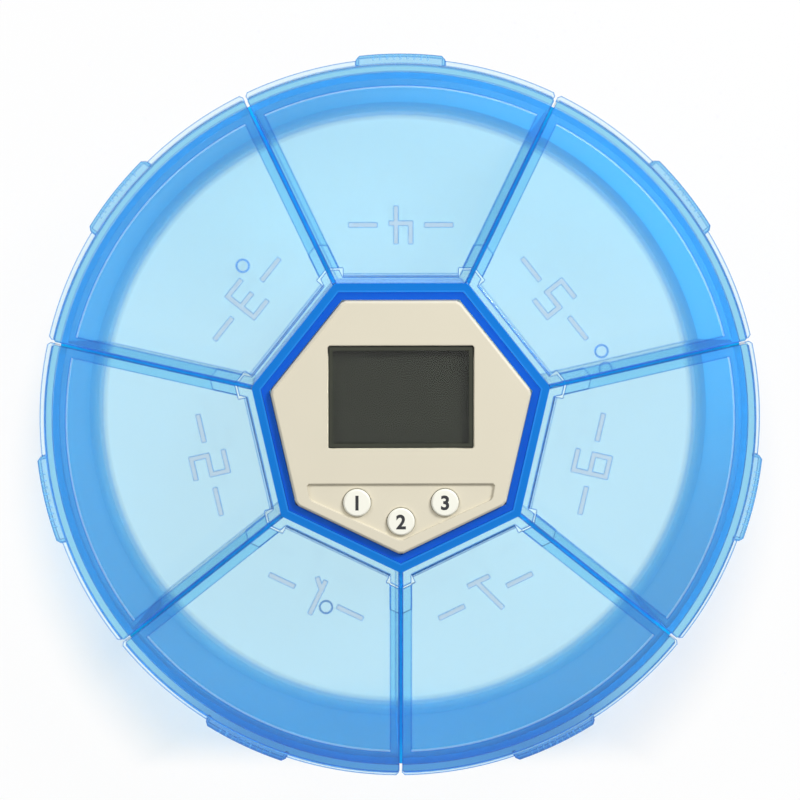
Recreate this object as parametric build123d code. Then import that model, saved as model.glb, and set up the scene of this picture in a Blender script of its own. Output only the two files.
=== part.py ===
from build123d import *
import os
from math import cos, radians, sin, tan

# Round seven-day pill box with a timer in its hub, lying on its base.
# Millimetres. Z is up, the origin is under the middle of the base.
# Seven equal sectors lie around the hub, with a flat side of the hub at +Y.
DAYS = 7
STEP = 360 / DAYS
HALF = STEP / 2

# Tray
WALL = 1.1
FLOOR = 1.2
DIVIDER = 0.9
RIM_R = 60.8
RIM_Z = 21.0
RIM_STRAIGHT = 4.4
BASE_R = 55.4
FLOOR_BEVEL = 1.7
BASE_BEVEL = 1.2

# Hub well of the tray
WELL_R = 21.25
WELL_WALL = 1.3
WELL_LIP = 0.4
LEDGE = 2.6
LEDGE_T = 1.2
LEDGE_Z = 10.3

# Collar with the hinge flanges, pressed over the hub wall
COLLAR_GAP = 0.06
COLLAR_WALL = 1.44
COLLAR_DEEP = 15.0
CATCH_W = 5.3
CATCH_H = 1.2
CATCH_IN = 0.5
CATCH_BELOW = 5.0
SLOT_GAP = 0.1

# Lids
SEAT_GAP = 0.03
SEAM = 0.5
LID_T = 1.6
PANEL_SUNK = 0.5
FRAME_W = 1.6
FRAME_ARC = 3.8
HINGE_BAND = 1.14
GROOVE_W = 0.56
WEB_T = 0.35
WEB_GAP = 0.04
EAR_L = 1.3
EAR_GAP = 0.1
BAR_GAP = 0.27
RELIEF_L = 4.0
RELIEF_Z = 1.05
SKIRT_GAP = 0.15
SKIRT_T = 1.35
SKIRT_H = 4.0
LIP_OUT = 0.9
LIP_T = 0.8
CORNER_CUT = 0.5
TOP_EDGE = 0.35
TAB_W = 15.6
TAB_OUT = 1.7
TAB_T = 1.4
TAB_CORNER = 0.6
TAB_BORDER = 0.5
TAB_DROP = 1.4

# Numbers on the lids, each a set of straight strokes in a unit square
MARK_H = 0.2
MARK_LINE = 0.75
MARK_TALL = 5.8
MARK_WIDE = 3.4
MARK_AT = 34.3
DASH_L = 4.2
DASH_OFF = 6.6
STROKES = (
    ((0.2, 0.75, 0.6, 1), (0.6, 1, 0.6, 0)),
    ((0, 1, 1, 1), (1, 1, 1, 0.5), (1, 0.5, 0, 0.5), (0, 0.5, 0, 0), (0, 0, 1, 0)),
    ((0, 1, 1, 1), (1, 1, 1, 0), (0.2, 0.5, 1, 0.5), (0, 0, 1, 0)),
    ((0, 1, 0, 0.45), (0, 0.45, 1, 0.45), (0.75, 1, 0.75, 0)),
    ((1, 1, 0, 1), (0, 1, 0, 0.55), (0, 0.55, 1, 0.55), (1, 0.55, 1, 0), (1, 0, 0, 0)),
    ((1, 1, 0, 1), (0, 1, 0, 0), (0, 0, 1, 0), (1, 0, 1, 0.5), (1, 0.5, 0, 0.5)),
    ((0, 1, 1, 1), (1, 1, 0.4, 0)),
)

# Timer case
CASE_GAP = 0.15
CASE_PROUD = 0.8
CASE_WALL = 1.2
CASE_CORNER = 0.5
CASE_EDGE = 0.35
FACE_T = 1.6
BACK_T = 1.6
SPLIT_UP = 2.3
LIP_H = 1.4
LIP_GAP = 0.1
LIP_WALL = 0.9
PART_GAP = 0.03

# Display, placed from the case's inside further down
WINDOW_CORNER = 0.35
GLASS_CLEAR = 0.59
DISPLAY_BELOW = 5.0
DISPLAY_ABOVE = 6.2
LENS_GAP = 0.1
LENS_T = 1.0
LENS_SUNK = 0.25
LENS_SHELF = 0.6
GLASS_OVER = 0.75
GLASS_T = 1.8
GLASS_GAP = 0.05
HOLDER_WALL = 0.8
HOLDER_SHELF = 1.0
STRIP_SHORT = 1.75
STRIP_W = 2.0

# Buttons
BUTTON_IN = 3.72
BUTTON_ALONG = 0.755
BUTTON_MID_IN = 4.49
BUTTON_R = 2.42
BUTTON_FIT = 0.08
BUTTON_UP = 0.65
BUTTON_EDGE = 0.25
FLANGE_R = 3.0
FLANGE_W = 2.4
FLANGE_T = 0.8
STEM = 2.4
TRAVEL = 0.5
DISH_DEEP = 0.5
DISH_ABOVE = 3.35
DISH_TIP_IN = 1.09
DISH_LOW = (0.61, 1.11)
DISH_HIGH = (1.39, 2.63)
DISH_CORNER = 0.4
SWITCH = 3.4
SWITCH_H = 1.2
PLUNGER = 1.6

# Board and what is on it
BOARD_T = 1.0
BOARD_GAP = 1.3
BOARD_DOWN = 4.4
CHIP_W = 6.0
CHIP_H = 0.9
CHIP_IN = 6.07
CHIP_ALONG = 3.55
CRYSTAL_W = 2.0
CRYSTAL_L = 6.0
CRYSTAL_IN = 5.39
CRYSTAL_ALONG = 0.235
BUZZER_R = 4.5
BUZZER_H = 2.6
BUZZER_IN = 6.07
BUZZER_ALONG = 2.27
SOUND_L = 4.4
SOUND_W = 0.8
SOUND_PITCH = 1.8

# Screws
BOSS_IN = 2.84
BOSS_FROM_CORNER = 4.04
BOSS_R = 1.8
BOSS_WING = 2.3
BOSS_WING_T = 1.0
TOP_RIB_W = 6.0
TOP_RIB_T = 2.4
POST = 4.8
SCREW_R = 0.95
SCREW_FIT = 0.02
SCREW_L = 6.6
HEAD_R = 1.75
HEAD_H = 1.2
HEAD_GAP = 0.15
HEAD_SUNK = 0.15
SCREW_CLEAR = 0.15

# Battery
CELL_R = 10.0
CELL_H = 3.2
CELL_Y = -4.3
CELL_GAP = 0.1
DOOR_R = 11.4
DOOR_FIT = 0.08
DOOR_RIBS = 4
DOOR_RIB_W = 3.0
DOOR_RIB_INSET = 0.5
DOOR_RIB_H = 1.3
LUG_OUT = 1.0
LUG_IN = 1.0
LUG_T = 0.8
LUG_ARC = 30
LUG_GAP = 0.05
LUG_SIDE = 0.3
DOOR_TURN = 45
COIN_L = 13.0
COIN_W = 1.8
COIN_DEEP = 0.9
LEAF_T = 0.3
LEAF_W = 3.0
LEAF_REACH = 6.5
CLIP_W = 4.0

# Levels and radii that follow from the sizes above
HUB_R = WELL_R + WELL_WALL
COLLAR_IN = HUB_R + COLLAR_GAP
COLLAR_OUT = COLLAR_IN + COLLAR_WALL
LID_Z = RIM_Z + SEAT_GAP
LID_TOP = LID_Z + LID_T
PANEL_Z = LID_TOP - PANEL_SUNK
FLANGE_U = COLLAR_OUT + HINGE_BAND
HINGE_U = FLANGE_U + GROOVE_W / 2
HINGE_Z = PANEL_Z - WEB_T / 2
PANEL_U = FLANGE_U + GROOVE_W
EAR_U = FLANGE_U + EAR_L
SKIRT_IN = RIM_R + SKIRT_GAP
SKIRT_R = SKIRT_IN + SKIRT_T
SKIRT_Z = LID_TOP - SKIRT_H
FAR = 3 * RIM_R

CASE_R = WELL_R - CASE_GAP
CASE_TOP = LID_TOP + CASE_PROUD
CASE_Z = LEDGE_Z + SEAT_GAP
SPLIT_Z = CASE_Z + SPLIT_UP
FACE_Z = CASE_TOP - FACE_T
DISH_Z = CASE_TOP - DISH_DEEP
GLASS_TOP = FACE_Z - PART_GAP
GLASS_Z = GLASS_TOP - GLASS_T
BOARD_TOP = FACE_Z - BOARD_DOWN
BOARD_Z = BOARD_TOP - BOARD_T
ON_BOARD = BOARD_TOP + PART_GAP
UNDER_BOARD = BOARD_Z - PART_GAP
SWITCH_TOP = ON_BOARD + SWITCH_H
BUTTON_Z = SWITCH_TOP + TRAVEL + 2 * PART_GAP
BUTTON_TOP = DISH_Z + BUTTON_UP
FLANGE_TOP = FACE_Z - PART_GAP
CELL_Z = CASE_Z + BACK_T + PART_GAP
CELL_TOP = CELL_Z + CELL_H


def from_side(side, inset, along=0.0, corner=None):
    """A point in the case, set in from one of its inner sides, which count anticlockwise from 0 at +Y.

    It lies along from the side's middle, or corner from one end of the side, the clockwise one if negative.
    """
    inside = CASE_R - CASE_WALL
    if corner is not None:
        along = inside * tan(radians(HALF)) - abs(corner)
        along = -along if corner < 0 else along
    a = radians(90 + side * STEP)
    return (inside - inset) * cos(a) - along * sin(a), (inside - inset) * sin(a) + along * cos(a)


# Places in the case, each from the inner side or corner that it lies by
INSIDE = CASE_R - CASE_WALL
INNER_CORNER = INSIDE / cos(radians(HALF))
BUTTONS = {
    "button_left": from_side(3, BUTTON_IN, -BUTTON_ALONG),
    "button_middle": (0, BUTTON_MID_IN - INNER_CORNER),
    "button_right": from_side(4, BUTTON_IN, BUTTON_ALONG),
}
DISH_TOP = BUTTONS["button_left"][1] + DISH_ABOVE
DISH_X = from_side(5, DISH_HIGH[0], corner=-DISH_HIGH[1])[0]
DISH = (
    (-DISH_X, DISH_TOP), (DISH_X, DISH_TOP), from_side(4, DISH_LOW[0], corner=DISH_LOW[1]),
    (0, DISH_TIP_IN - INNER_CORNER), from_side(3, DISH_LOW[0], corner=-DISH_LOW[1]),
)
BOSSES = (from_side(5, BOSS_IN, corner=-BOSS_FROM_CORNER), from_side(2, BOSS_IN, corner=BOSS_FROM_CORNER))
BOSS_TURNS = (STEP / 2, -STEP / 2)
WINDOW_TOP = INSIDE - DISPLAY_BELOW - HOLDER_WALL - GLASS_GAP - GLASS_OVER
WINDOW_LOW = DISH_TOP + DISPLAY_ABOVE
WINDOW_H = WINDOW_TOP - WINDOW_LOW
WINDOW_Y = (WINDOW_TOP + WINDOW_LOW) / 2
WINDOW_W = 2 * ((INSIDE - GLASS_CLEAR - (WINDOW_TOP + GLASS_OVER) * sin(radians(90 - STEP)))
                / cos(radians(90 - STEP)) - GLASS_OVER)
CHIP_XY = from_side(6, CHIP_IN, CHIP_ALONG)
CRYSTAL_XY = from_side(2, CRYSTAL_IN, -CRYSTAL_ALONG)
BUZZER_XY = from_side(1, BUZZER_IN, -BUZZER_ALONG)


def heptagon(r, corner=0):
    """A heptagon with r from its middle to each side, a side at +Y, its corners cut where asked."""
    face = Rot(0, 0, -90) * RegularPolygon(r, DAYS, major_radius=False)
    return chamfer(face.vertices(), corner) if corner else face


def prism(face, low, high):
    return Pos(0, 0, low) * extrude(face, high - low)


def disc(r, low, high, x=0, y=0):
    return prism(Pos(x, y) * Circle(r), low, high)


def block(x0, x1, y0, y1, z0, z1):
    return Pos((x0 + x1) / 2, (y0 + y1) / 2, (z0 + z1) / 2) * Box(x1 - x0, y1 - y0, z1 - z0)


def wedge(inset):
    """One sector along +X, its sides moved in from the seams."""
    tip = inset / sin(radians(HALF))
    x, y = tip + FAR * cos(radians(HALF)), FAR * sin(radians(HALF))
    return make_face(Polyline((tip, 0), (x, -y), (x, y), close=True))


def band(near, far):
    """A strip across the sector between two distances from the hub's middle."""
    return Pos((near + far) / 2, 0) * Rectangle(far - near, 2 * RIM_R)


def around(shape):
    """Copies of a sector's shape on all seven sectors, the first at +Y."""
    return [Rot(0, 0, 90 + k * STEP) * shape for k in range(DAYS)]


def on_day(shape, day):
    """Day 4 lies at +Y, and the days run clockwise."""
    return Rot(0, 0, 90 + (4 - day) * STEP) * shape


def tray_profile():
    knee = RIM_Z - RIM_STRAIGHT
    lean = (RIM_R - BASE_R) / knee
    inside = BASE_R + lean * FLOOR - WALL
    face = Plane.XZ * make_face(
        Polyline(
            (0, 0), (BASE_R, 0), (RIM_R, knee), (RIM_R, RIM_Z), (RIM_R - WALL, RIM_Z),
            (RIM_R - WALL, knee), (inside, FLOOR), (0, FLOOR), close=True,
        )
    )
    face = chamfer(face.vertices().sort_by_distance((inside, 0, FLOOR))[0], FLOOR_BEVEL)
    return chamfer(face.vertices().sort_by_distance((BASE_R, 0, 0))[0], BASE_BEVEL)


def tray():
    shell = revolve(tray_profile(), Axis.Z)
    bulk = disc(RIM_R - WALL / 2, FLOOR / 2, RIM_Z)
    outside = revolve(Plane.XZ * make_face(
        Polyline((0, 0), (BASE_R, 0), (RIM_R - WALL / 2, RIM_Z - RIM_STRAIGHT),
                 (RIM_R - WALL / 2, RIM_Z), (0, RIM_Z), close=True)), Axis.Z)
    divider = block(WELL_R, RIM_R, -DIVIDER / 2, DIVIDER / 2, FLOOR / 2, RIM_Z)
    for wall in around(Rot(0, 0, HALF) * divider):
        shell += wall & outside & bulk
    shell += prism(heptagon(HUB_R), 0, LID_TOP - WELL_LIP)
    shell -= prism(heptagon(WELL_R), LEDGE_Z, LID_TOP)
    shell -= prism(heptagon(WELL_R), -1, LEDGE_Z - LEDGE_T)
    shell -= prism(heptagon(WELL_R - LEDGE), 0, LEDGE_Z + 1)
    slot = heptagon(COLLAR_OUT + SLOT_GAP) - heptagon(HUB_R)
    shell -= prism(slot, LID_TOP - COLLAR_DEEP - SLOT_GAP, LID_TOP)
    for pocket in around(catch(SLOT_GAP)):
        shell -= pocket
    return shell


def catch(gap):
    """The lug that holds the collar on the hub wall, or with a gap its pocket."""
    z = LID_TOP - CATCH_BELOW
    return block(HUB_R - CATCH_IN - gap / 2, COLLAR_IN + 0.1, -CATCH_W / 2 - gap, CATCH_W / 2 + gap,
                 z - CATCH_H - gap, z + gap)


def collar():
    ring = prism(heptagon(COLLAR_OUT) - heptagon(COLLAR_IN), LID_TOP - COLLAR_DEEP, LID_TOP)
    inner = wedge(SEAM / 2 + FRAME_W)
    flange = wedge(SEAM / 2) & band(COLLAR_OUT - 0.3, EAR_U)
    flange -= inner & band(FLANGE_U, EAR_U + 1)
    piece = prism(flange, LID_Z, LID_TOP)
    web = inner & band(FLANGE_U - 0.2, HINGE_U - WEB_T / 2 - WEB_GAP)
    piece += prism(web, PANEL_Z - WEB_T, PANEL_Z)
    piece += catch(0)
    for side in around(piece):
        ring += side
    return ring


def number(day):
    """A plain number between two dashes, its top towards the hub."""
    lines = []
    for x0, y0, x1, y1 in STROKES[day - 1]:
        ends = [Vector((x - 0.5) * MARK_WIDE, (y - 0.5) * MARK_TALL) for x, y in ((x0, y0), (x1, y1))]
        lines.append(ends)
    for side in (-1, 1):
        lines.append([Vector(side * DASH_OFF - DASH_L / 2, 0), Vector(side * DASH_OFF + DASH_L / 2, 0)])
    mark = None
    for a, b in lines:
        middle, way = (a + b) / 2, b - a
        stroke = Pos(middle.X, middle.Y) * Rot(0, 0, Vector(1, 0).get_signed_angle(way))
        stroke *= Rectangle(way.length + MARK_LINE, MARK_LINE)
        mark = stroke if mark is None else mark + stroke
    return Pos(MARK_AT, 0) * Rot(0, 0, 90) * mark


def tab():
    """The finger tab: a plate with a deeper border."""
    outer = SKIRT_R + TAB_OUT
    plate = Pos((SKIRT_IN + outer) / 2 + 0.3, 0) * Rectangle(outer - SKIRT_IN - 0.6, TAB_W)
    plate = chamfer((plate & Circle(outer)).vertices().sort_by(Axis.X)[-2:], TAB_CORNER)
    inner = Pos((SKIRT_IN + outer) / 2, 0) * Rectangle(outer - SKIRT_IN, TAB_W - 2 * TAB_BORDER)
    inner = inner & Circle(outer - TAB_BORDER)
    shape = prism(plate, SKIRT_Z, SKIRT_Z + TAB_T)
    rim = prism(plate - inner, SKIRT_Z - TAB_DROP, SKIRT_Z + TAB_T)
    rim -= disc(SKIRT_R, SKIRT_Z - TAB_DROP - 1, SKIRT_Z)
    return shape + rim


def lid(day):
    sector = wedge(SEAM / 2)
    start = EAR_U + BAR_GAP
    half = (HINGE_U * sin(radians(HALF)) - SEAM / 2 - FRAME_W - EAR_GAP) / cos(radians(HALF))
    neck = Rectangle(2 * (start + 1), 2 * half)
    plate = (sector & band(start, FAR)) + (neck & band(PANEL_U, start + 1))
    body = prism(plate & Circle(SKIRT_R), LID_Z, LID_TOP)
    body += prism(sector & (Circle(SKIRT_R) - Circle(SKIRT_IN)), SKIRT_Z, LID_TOP)
    body += prism(sector & (Circle(SKIRT_R + LIP_OUT) - Circle(SKIRT_IN)), SKIRT_Z, SKIRT_Z + LIP_T)
    corners = [e for e in body.edges().filter_by(Axis.Z)
               if (e.center().X ** 2 + e.center().Y ** 2) ** 0.5 > SKIRT_R - 0.1]
    body = chamfer(corners, CORNER_CUT)
    rim = [e for e in body.edges().filter_by(GeomType.CIRCLE)
           if abs(e.center().Z - LID_TOP) < 0.01 and abs(e.radius - SKIRT_R) < 0.01]
    body = chamfer(rim, TOP_EDGE)
    body += tab()
    sunk = wedge(SEAM / 2 + FRAME_W) & Circle(SKIRT_R - FRAME_ARC) & band(start, FAR)
    sunk += band(PANEL_U - 1, start)
    body -= prism(sunk, PANEL_Z, LID_TOP + 1)
    ends = (sector - wedge(SEAM / 2 + FRAME_W)) & band(start - 1, start + RELIEF_L)
    body -= prism(ends, LID_Z - 1, LID_Z + RELIEF_Z)
    web = neck & band(HINGE_U, PANEL_U + 0.2)
    body += prism(web, PANEL_Z - WEB_T, PANEL_Z)
    bar = Plane.XZ * Pos(HINGE_U, HINGE_Z) * RegularPolygon(WEB_T / 2, 8, major_radius=False)
    body += extrude(bar, half, both=True)
    body += prism(number(day), PANEL_Z - 0.1, PANEL_Z + MARK_H)
    return on_day(body, day)


def window(over, cut=True):
    """The window's outline, larger by over on each side."""
    face = Pos(0, WINDOW_Y) * Rectangle(WINDOW_W + 2 * over, WINDOW_H + 2 * over)
    return chamfer(face.vertices(), WINDOW_CORNER) if cut else face


def dish():
    face = make_face(Polyline(*DISH, close=True))
    return chamfer(face.vertices(), DISH_CORNER)


def front_case():
    body = prism(heptagon(CASE_R, CASE_CORNER), SPLIT_Z, CASE_TOP)
    body = chamfer(body.faces().sort_by(Axis.Z)[-1].edges(), CASE_EDGE)
    body -= prism(heptagon(INSIDE), SPLIT_Z, FACE_Z)
    body -= prism(dish(), DISH_Z, CASE_TOP + 1)
    body -= prism(window(LENS_GAP / 2), CASE_TOP - LENS_SUNK - LENS_T - PART_GAP, CASE_TOP + 1)
    body -= prism(window(-LENS_SHELF, False), FACE_Z - 1, CASE_TOP)
    for x, y in BUTTONS.values():
        body -= disc(BUTTON_R + BUTTON_FIT, FACE_Z - 1, CASE_TOP, x, y)
    body += block(-TOP_RIB_W / 2, TOP_RIB_W / 2, INSIDE - TOP_RIB_T, INSIDE + 0.1,
                  BOARD_TOP + PART_GAP, FACE_Z + 0.1)
    for (x, y), turn in zip(BOSSES, BOSS_TURNS):
        wing = block(-BOSS_WING, BOSS_WING, -BOSS_WING_T / 2, BOSS_WING_T / 2,
                     BOARD_TOP + PART_GAP, FACE_Z + 0.1)
        body += Pos(x, y) * Rot(0, 0, turn) * wing
        body += disc(BOSS_R, SPLIT_Z + PART_GAP, FACE_Z + 0.1, x, y)
        body -= disc(SCREW_R + SCREW_FIT, SPLIT_Z, SPLIT_Z + SCREW_L, x, y)
    return body


def door_lugs(r_out, spread, low, high, turn=0):
    """Two arcs on opposite sides of the battery door."""
    ring = Circle(r_out) - Circle(DOOR_R - LUG_IN)
    half = radians(LUG_ARC / 2) + spread / DOOR_R
    x, y = 2 * r_out * cos(half), 2 * r_out * sin(half)
    fan = make_face(Polyline((0, 0), (x, -y), (x, y), close=True))
    lug = prism(ring & fan, low, high)
    return [Pos(0, CELL_Y) * Rot(0, 0, turn + a) * lug for a in (0, 180)]


def back_case():
    body = prism(heptagon(CASE_R, CASE_CORNER), CASE_Z, SPLIT_Z)
    body = chamfer(body.faces().sort_by(Axis.Z)[0].edges(), CASE_EDGE)
    inner = heptagon(INSIDE - LIP_GAP - LIP_WALL)
    body -= prism(inner, CASE_Z + BACK_T, SPLIT_Z)
    lip = prism(heptagon(INSIDE - LIP_GAP) - inner, SPLIT_Z - 0.1, SPLIT_Z + LIP_H)
    for x, y in BOSSES:
        lip -= Pos(x, y, SPLIT_Z + LIP_H / 2) * Box(*[2 * (BOSS_R + LIP_GAP)] * 2, LIP_H + 1)
    body += lip
    swing = disc(DOOR_R + LUG_OUT + LUG_SIDE, CASE_Z + BACK_T, SPLIT_Z + 1, 0, CELL_Y)
    for x, y in BOSSES:
        post = block(x - POST / 2, x + POST / 2, y - POST / 2, y + POST / 2, CASE_Z + 0.5, SPLIT_Z)
        body += (post & prism(heptagon(INSIDE), 0, FACE_Z)) - swing
        body -= disc(HEAD_R + HEAD_GAP, CASE_Z - 1, CASE_Z + HEAD_SUNK + HEAD_H, x, y)
        body -= disc(SCREW_R + SCREW_CLEAR, CASE_Z, SPLIT_Z + 1, x, y)
    body -= disc(DOOR_R, CASE_Z - 1, SPLIT_Z, 0, CELL_Y)
    for notch in door_lugs(DOOR_R + LUG_OUT + LUG_SIDE, LUG_SIDE, CASE_Z - 1, SPLIT_Z, DOOR_TURN):
        body -= notch
    for i in range(-1, 2):
        x, y = BUZZER_XY[0], BUZZER_XY[1] + i * SOUND_PITCH
        body -= Pos(x, y, CASE_Z) * Box(SOUND_L, SOUND_W, 4 * BACK_T)
    return body


def lens():
    low = CASE_TOP - LENS_SUNK - LENS_T
    return prism(window(-LENS_GAP / 2), low, low + LENS_T)


def lcd_panel():
    return prism(window(GLASS_OVER, False), GLASS_Z, GLASS_TOP)


def lcd_holder():
    over = GLASS_OVER + GLASS_GAP
    body = prism(window(over + HOLDER_WALL, False), ON_BOARD, GLASS_TOP - 0.2)
    body -= prism(window(over, False), GLASS_Z - PART_GAP, GLASS_TOP)
    body -= prism(window(GLASS_OVER - HOLDER_SHELF, False), 0, GLASS_TOP)
    return body & prism(heptagon(INSIDE - LIP_GAP), 0, GLASS_TOP)


def contact_strip():
    y = WINDOW_Y - WINDOW_H / 2 - GLASS_OVER + HOLDER_SHELF + 0.1 + STRIP_W / 2
    half = WINDOW_W / 2 - STRIP_SHORT
    return block(-half, half, y - STRIP_W / 2, y + STRIP_W / 2, ON_BOARD, GLASS_Z - PART_GAP)


def board():
    body = prism(heptagon(INSIDE - BOARD_GAP), BOARD_Z, BOARD_TOP)
    for (x, y), turn in zip(BOSSES, BOSS_TURNS):
        body -= Pos(x, y, BOARD_Z) * Rot(0, 0, turn) * Box(*[2 * (BOSS_R + LIP_GAP)] * 2, 4 * BOARD_T)
    return body


def chip():
    """The clock chip, on the board's back."""
    x, y = CHIP_XY
    half = CHIP_W / 2
    return block(x - half, x + half, y - half, y + half, UNDER_BOARD - CHIP_H, UNDER_BOARD)


def crystal():
    x, y = CRYSTAL_XY
    return block(x - CRYSTAL_W / 2, x + CRYSTAL_W / 2, y - CRYSTAL_L / 2, y + CRYSTAL_L / 2,
                 UNDER_BOARD - CRYSTAL_W, UNDER_BOARD)


def buzzer():
    x, y = BUZZER_XY
    return disc(BUZZER_R, UNDER_BOARD - BUZZER_H, UNDER_BOARD, x, y)


def button(x, y):
    body = disc(BUTTON_R, FLANGE_TOP - FLANGE_T, BUTTON_TOP, x, y)
    body = chamfer(body.edges().sort_by(Axis.Z)[-1], BUTTON_EDGE)
    body += block(x - FLANGE_R, x + FLANGE_R, y - FLANGE_W / 2, y + FLANGE_W / 2,
                  FLANGE_TOP - FLANGE_T, FLANGE_TOP)
    return body + block(x - STEM / 2, x + STEM / 2, y - STEM / 2, y + STEM / 2, BUTTON_Z, FLANGE_TOP)


def switches():
    bodies = []
    for x, y in BUTTONS.values():
        half = SWITCH / 2
        base = block(x - half, x + half, y - half, y + half, ON_BOARD, SWITCH_TOP - 0.4)
        half = PLUNGER / 2
        bodies.append(base + block(x - half, x + half, y - half, y + half, ON_BOARD, SWITCH_TOP))
    return Compound(children=bodies)


def cell():
    return disc(CELL_R, CELL_Z, CELL_TOP, 0, CELL_Y)


def door():
    top = CASE_Z + BACK_T
    r = DOOR_R - DOOR_FIT
    body = disc(r, CASE_Z, top, 0, CELL_Y)
    near = CELL_R + CELL_GAP
    rib = block(near, DOOR_R - DOOR_RIB_INSET, -DOOR_RIB_W / 2, DOOR_RIB_W / 2, top - 0.1, top + DOOR_RIB_H)
    for i in range(DOOR_RIBS):
        body += Pos(0, CELL_Y) * Rot(0, 0, i * 360 / DOOR_RIBS) * rib
    for lug in door_lugs(DOOR_R + LUG_OUT, 0, top + LUG_GAP, top + LUG_GAP + LUG_T):
        body += lug
    slot = Pos(0, CELL_Y) * Rectangle(COIN_L, COIN_W)
    return body - prism(slot, CASE_Z - 1, CASE_Z + COIN_DEEP)


def battery_spring():
    """The leaf that presses on the cell's top, bent down from the board."""
    top, low = UNDER_BOARD, CELL_TOP + PART_GAP
    line = Polyline(
        (-LEAF_REACH, top), (-LEAF_REACH, top - LEAF_T), (-LEAF_REACH / 2, top - LEAF_T), (-1.5, low),
        (1.5, low), (1.5, low + LEAF_T), (-1.2, low + LEAF_T), (-LEAF_REACH / 2 + 0.3, top), close=True,
    )
    leaf = extrude(Plane.XZ * make_face(line), LEAF_W / 2, both=True)
    return Pos(0, CELL_Y) * leaf


def battery_clip():
    """The leaf beside the cell, bent over under the board."""
    x, z = CELL_R + PART_GAP, CELL_Z + DOOR_RIB_H + 0.5
    leaf = block(x, x + LEAF_T, CELL_Y - CLIP_W / 2, CELL_Y + CLIP_W / 2, z, UNDER_BOARD)
    foot = block(x, x + 2.2, CELL_Y - CLIP_W / 2, CELL_Y + CLIP_W / 2, UNDER_BOARD - LEAF_T, UNDER_BOARD)
    return leaf + foot


def screws():
    bodies = []
    for x, y in BOSSES:
        low = CASE_Z + HEAD_SUNK - PART_GAP
        head = disc(HEAD_R, low, low + HEAD_H, x, y)
        head -= Pos(x, y, low) * Box(2 * HEAD_R * 0.7, 0.5, 1.0)
        bodies.append(head + disc(SCREW_R, low + HEAD_H, SPLIT_Z + SCREW_L - 0.5, x, y))
    return Compound(children=bodies)


def main():
    os.makedirs("parts", exist_ok=True)
    parts = {
        "tray": tray(),
        "lid_collar": collar(),
        "timer_front_case": front_case(),
        "timer_back_case": back_case(),
        "display_lens": lens(),
        "lcd_panel": lcd_panel(),
        "lcd_holder": lcd_holder(),
        "contact_strip": contact_strip(),
        "circuit_board": board(),
        "clock_chip": chip(),
        "clock_crystal": crystal(),
        "buzzer": buzzer(),
        "key_switches": switches(),
        "coin_cell": cell(),
        "battery_spring": battery_spring(),
        "battery_clip": battery_clip(),
        "battery_door": door(),
        "case_screws": screws(),
    }
    for day in range(1, DAYS + 1):
        parts[f"lid_{day}"] = lid(day)
    for name, (x, y) in BUTTONS.items():
        parts[name] = button(x, y)
    for name, shape in parts.items():
        export_step(shape, f"parts/{name}.step")
        print(name, round(shape.volume), "mm3")


main()
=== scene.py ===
"""A round seven-day pill box with a timer in its hub, dressed for a studio picture."""

import math

import bpy
from mathutils import Matrix, Vector


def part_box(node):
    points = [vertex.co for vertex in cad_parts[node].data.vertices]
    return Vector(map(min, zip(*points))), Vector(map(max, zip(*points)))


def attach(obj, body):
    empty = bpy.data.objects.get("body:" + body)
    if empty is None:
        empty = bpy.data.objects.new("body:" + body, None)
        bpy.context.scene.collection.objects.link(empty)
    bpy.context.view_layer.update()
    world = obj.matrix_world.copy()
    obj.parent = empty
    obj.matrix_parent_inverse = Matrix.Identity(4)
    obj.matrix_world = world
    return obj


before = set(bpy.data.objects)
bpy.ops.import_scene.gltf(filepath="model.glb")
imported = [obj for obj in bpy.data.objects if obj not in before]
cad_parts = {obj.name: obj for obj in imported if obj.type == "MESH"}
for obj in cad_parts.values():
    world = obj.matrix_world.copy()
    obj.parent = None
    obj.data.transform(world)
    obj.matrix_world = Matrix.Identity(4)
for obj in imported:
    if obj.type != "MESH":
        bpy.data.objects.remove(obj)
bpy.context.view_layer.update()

bl_info = {
    "name": "Pill box looks",
    "version": (1, 0, 0),
    "blender": (4, 5, 0),
    "location": "View3D > Sidebar > Pill box",
    "description": "Materials, small pieces and studio for the round pill box with a timer",
    "category": "Object",
}

MM = 0.001
LIDS = [f"lid_{day}" for day in range(1, 8)]
BUTTONS = {"button_left": "1", "button_middle": "2", "button_right": "3"}
WHITE = (1.0, 1.0, 1.0, 1.0)
SECTOR = math.tau / len(LIDS)

# Heights on the lid: its frame, its sunk panel and the raised numbers.
LID_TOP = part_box("lid_1")[1][2]
PANEL_TOP = LID_TOP - 0.5 * MM
NUMBER_TOP = PANEL_TOP + 0.2 * MM

# Above these heights lie only the upper ends of the tray's walls and, beyond the skirt, the upper side of a tab.
WALL_TOPS = 20.9 * MM
TAB_TOPS = 19.6 * MM

# Distances from the axis, in pairs where one look turns into the next: the tray's floor into its glowing side wall,
# its dividers into its rim, and a lid's straight sides into its outer arc. Then the foot of the arc's step, the
# inner side of the skirt, and the root of the finger tab.
WALL_GLOW = (52.0 * MM, 54.8 * MM)
RIM = (56.0 * MM, 59.0 * MM)
ARC = (56.5 * MM, 58.5 * MM)
ARC_FOOT = 58.34 * MM
SKIRT_INNER = 60.95 * MM
TAB_ROOT = 62.36 * MM

# A painted shade darkens the front of the rim, for the rim's own shade; it grows along -Y and outwards between these
# places.
SHADE_FRONT = (-34.0 * MM, -60.0 * MM)
SHADE_OUT = (57.0 * MM, SKIRT_INNER)

# Refraction of the two plastics, as it is usually given for them
POLYPROPYLENE_IOR = 1.49
ABS_IOR = 1.53

# The tray's gate marks stand at these angles from +X.
GATE_ANGLES = (16, 137, 250)

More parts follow.
